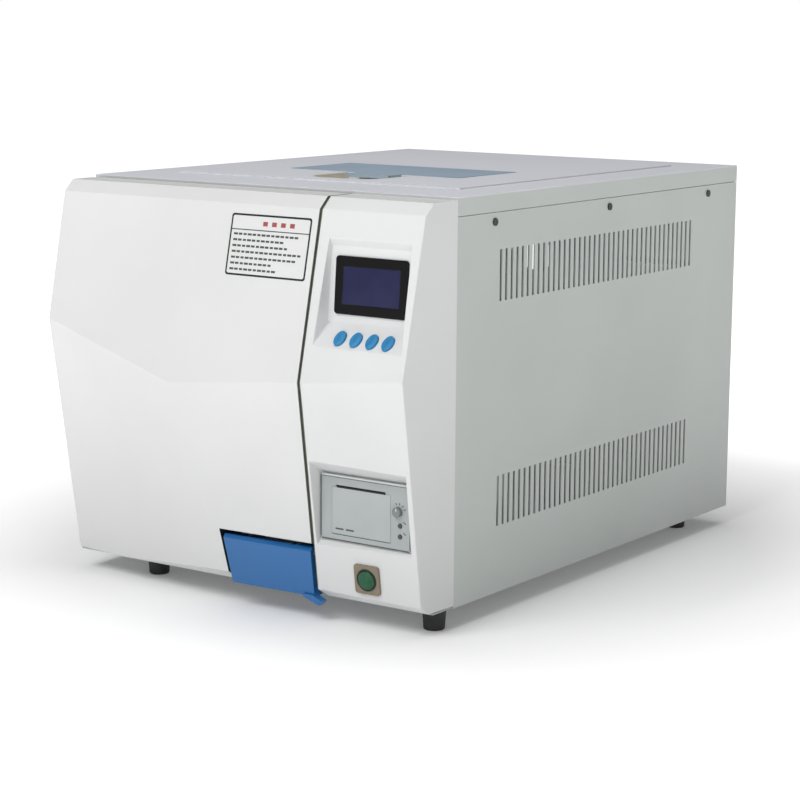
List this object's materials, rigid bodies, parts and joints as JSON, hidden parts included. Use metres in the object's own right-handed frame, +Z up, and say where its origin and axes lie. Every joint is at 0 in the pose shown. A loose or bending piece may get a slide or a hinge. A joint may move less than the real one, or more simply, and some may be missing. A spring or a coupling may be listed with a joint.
{
  "type": "benchtop autoclave",
  "caption": "Benchtop steam steriliser: box cabinet with a faceted hinged door, round pressure chamber with trays, side control column and a lidded water tank.",
  "frame": {"origin": "on the table plane under the middle of the bounding box", "axes": "+Z up; -Y towards the door and the person using it; +X to that person's right, the side of the control column"},
  "size_m": [0.4832, 0.707, 0.44],
  "materials": {
    "cover_white": "satin moulded shell",
    "column_white": "satin moulded shell",
    "case_paint": "light grey powder coat",
    "roof_paint": "pale lilac grey powder coat",
    "stainless": "brushed",
    "galvanised": "zinc coated sheet",
    "handle_blue": "moulded",
    "lid_blue_grey": "moulded",
    "cup_cream": "moulded",
    "tank_plastic": "moulded",
    "black_rubber": "matt",
    "black_plastic": "moulded",
    "bezel_black": "moulded",
    "screen_glass": "dark display window",
    "key_blue": "soft satin",
    "printer_grey": "moulded",
    "flap_grey": "moulded",
    "dark_grey": "moulded",
    "switch_taupe": "moulded",
    "lamp_green": "translucent cap",
    "paper": null,
    "seal_rubber": "silicone, pale",
    "screw_dark": "blackened",
    "aluminium_parts": "as cast and sheared",
    "brass_parts": "turned",
    "board_green": "circuit board",
    "pump_paint": "dark enamel",
    "wrap_fleece": "mineral fibre felt",
    "heater_foil": "foil faced heater"
  },
  "bodies": {
    "cabinet": {"control_column": "column_white", "side_panel_left": "case_paint", "side_panel_right": "case_paint", "top_cover": "roof_paint", "rear_panel": "case_paint", "front_bulkhead": "galvanised", "base_pan": "galvanised", "feet": "black_rubber", "case_screws": "screw_dark", "pressure_vessel": "stainless", "vessel_flange": "stainless", "band_heater": "heater_foil", "thermal_wrap": "wrap_fleece", "vessel_cradle": "galvanised", "instrument_tray_1": "stainless", "instrument_tray_2": "stainless", "instrument_tray_3": "stainless", "tray_rack": "stainless", "hinge_bracket": "galvanised", "strikes": "stainless", "display_bezel": "bezel_black", "display_screen": "screen_glass", "printer_plate": "printer_grey", "printer_body": "dark_grey", "paper_roll": "paper", "switch_plate": "switch_taupe", "lid_frame": "lid_blue_grey", "finger_cup": "cup_cream", "water_tank": "tank_plastic", "steam_generator": "stainless", "vacuum_pump": "pump_paint", "valve_manifold": "brass_parts", "control_board": "board_green", "condenser": "aluminium_parts", "safety_valve": "brass_parts", "fan_frame": "black_plastic", "fan_guard": "stainless", "inlet_socket": "black_plastic", "hose_spigots": "brass_parts"},
    "door": {"door_cover": "cover_white", "door_liner": "galvanised", "closure_plate": "stainless", "door_seal": "seal_rubber", "door_beam": "galvanised", "hinge_pins": "stainless", "handle_pin": "stainless"},
    "handle": {"door_handle": "handle_blue"},
    "latch": {"latch_bar": "stainless"},
    "tank_lid": {"tank_lid": "lid_blue_grey"},
    "menu_key_1": {"menu_key_1": "key_blue"},
    "menu_key_2": {"menu_key_2": "key_blue"},
    "menu_key_3": {"menu_key_3": "key_blue"},
    "menu_key_4": {"menu_key_4": "key_blue"},
    "power_button": {"power_button": "lamp_green"},
    "printer_flap": {"printer_flap": "flap_grey"},
    "printer_dial": {"printer_dial": "printer_grey"},
    "printer_key_1": {"printer_key_1": "black_plastic"},
    "printer_key_2": {"printer_key_2": "black_plastic"},
    "fan_rotor": {"fan_rotor": "black_plastic"}
  },
  "joints": [
    {"name": "door_hinge", "type": "hinge", "parent": "cabinet", "child": "door", "pos_m": [-0.2268, -0.27448, 0.23], "axis": [0, 0, -1], "range_deg": [0, 95]},
    {"name": "handle_pivot", "type": "hinge", "parent": "door", "child": "handle", "pos_m": [0.052, -0.31699, 0.072], "axis": [-1, 0, 0], "range_deg": [0, 30], "stiffness_Nm_per_rad": 0.08, "springref_deg": -17.19},
    {"name": "latch_slide", "type": "slide", "parent": "door", "child": "latch", "axis": [-1, 0, 0], "range_m": [0, 0.0112]},
    {"name": "tank_lid_hinge", "type": "hinge", "parent": "cabinet", "child": "tank_lid", "pos_m": [0, 0.04677, 0.43825], "axis": [-1, 0, 0], "range_deg": [0, 100]},
    {"name": "power_button_press", "type": "slide", "parent": "cabinet", "child": "power_button", "axis": [-0.0336, 0.9896, 0.1399], "range_m": [0, 0.003], "stiffness_N_per_m": 400, "springref_m": -0.002},
    {"name": "printer_flap_hinge", "type": "hinge", "parent": "cabinet", "child": "printer_flap", "pos_m": [0.168, -0.31959, 0.0978], "axis": [1, 0, 0], "range_deg": [0, 80]},
    {"name": "printer_dial_turn", "type": "hinge", "parent": "cabinet", "child": "printer_dial", "pos_m": [0.2138, -0.32349, 0.1296], "axis": [0, -1, 0], "range_deg": [-150, 150]},
    {"name": "fan_spin", "type": "hinge", "parent": "cabinet", "child": "fan_rotor", "pos_m": [0.165, 0.32551, 0.262], "axis": [0, 1, 0], "continuous": true},
    {"name": "menu_key_1_press", "type": "slide", "parent": "cabinet", "child": "menu_key_1", "axis": [0, 0.7062, -0.708], "range_m": [0, 0.0015], "stiffness_N_per_m": 300, "springref_m": -0.0015},
    {"name": "menu_key_2_press", "type": "slide", "parent": "cabinet", "child": "menu_key_2", "axis": [0, 0.7062, -0.708], "range_m": [0, 0.0015], "stiffness_N_per_m": 300, "springref_m": -0.0015},
    {"name": "menu_key_3_press", "type": "slide", "parent": "cabinet", "child": "menu_key_3", "axis": [0, 0.7062, -0.708], "range_m": [0, 0.0015], "stiffness_N_per_m": 300, "springref_m": -0.0015},
    {"name": "menu_key_4_press", "type": "slide", "parent": "cabinet", "child": "menu_key_4", "axis": [0, 0.7062, -0.708], "range_m": [0, 0.0015], "stiffness_N_per_m": 300, "springref_m": -0.0015},
    {"name": "printer_key_1_press", "type": "slide", "parent": "cabinet", "child": "printer_key_1", "axis": [0, 1, 0], "range_m": [0, 0.0008], "stiffness_N_per_m": 200, "springref_m": -0.001},
    {"name": "printer_key_2_press", "type": "slide", "parent": "cabinet", "child": "printer_key_2", "axis": [0, 1, 0], "range_m": [0, 0.0008], "stiffness_N_per_m": 200, "springref_m": -0.001}
  ],
  "couplings": [
    {"joint": "latch_slide", "follows": "handle_pivot", "m_per_rad": 0.021}
  ]
}
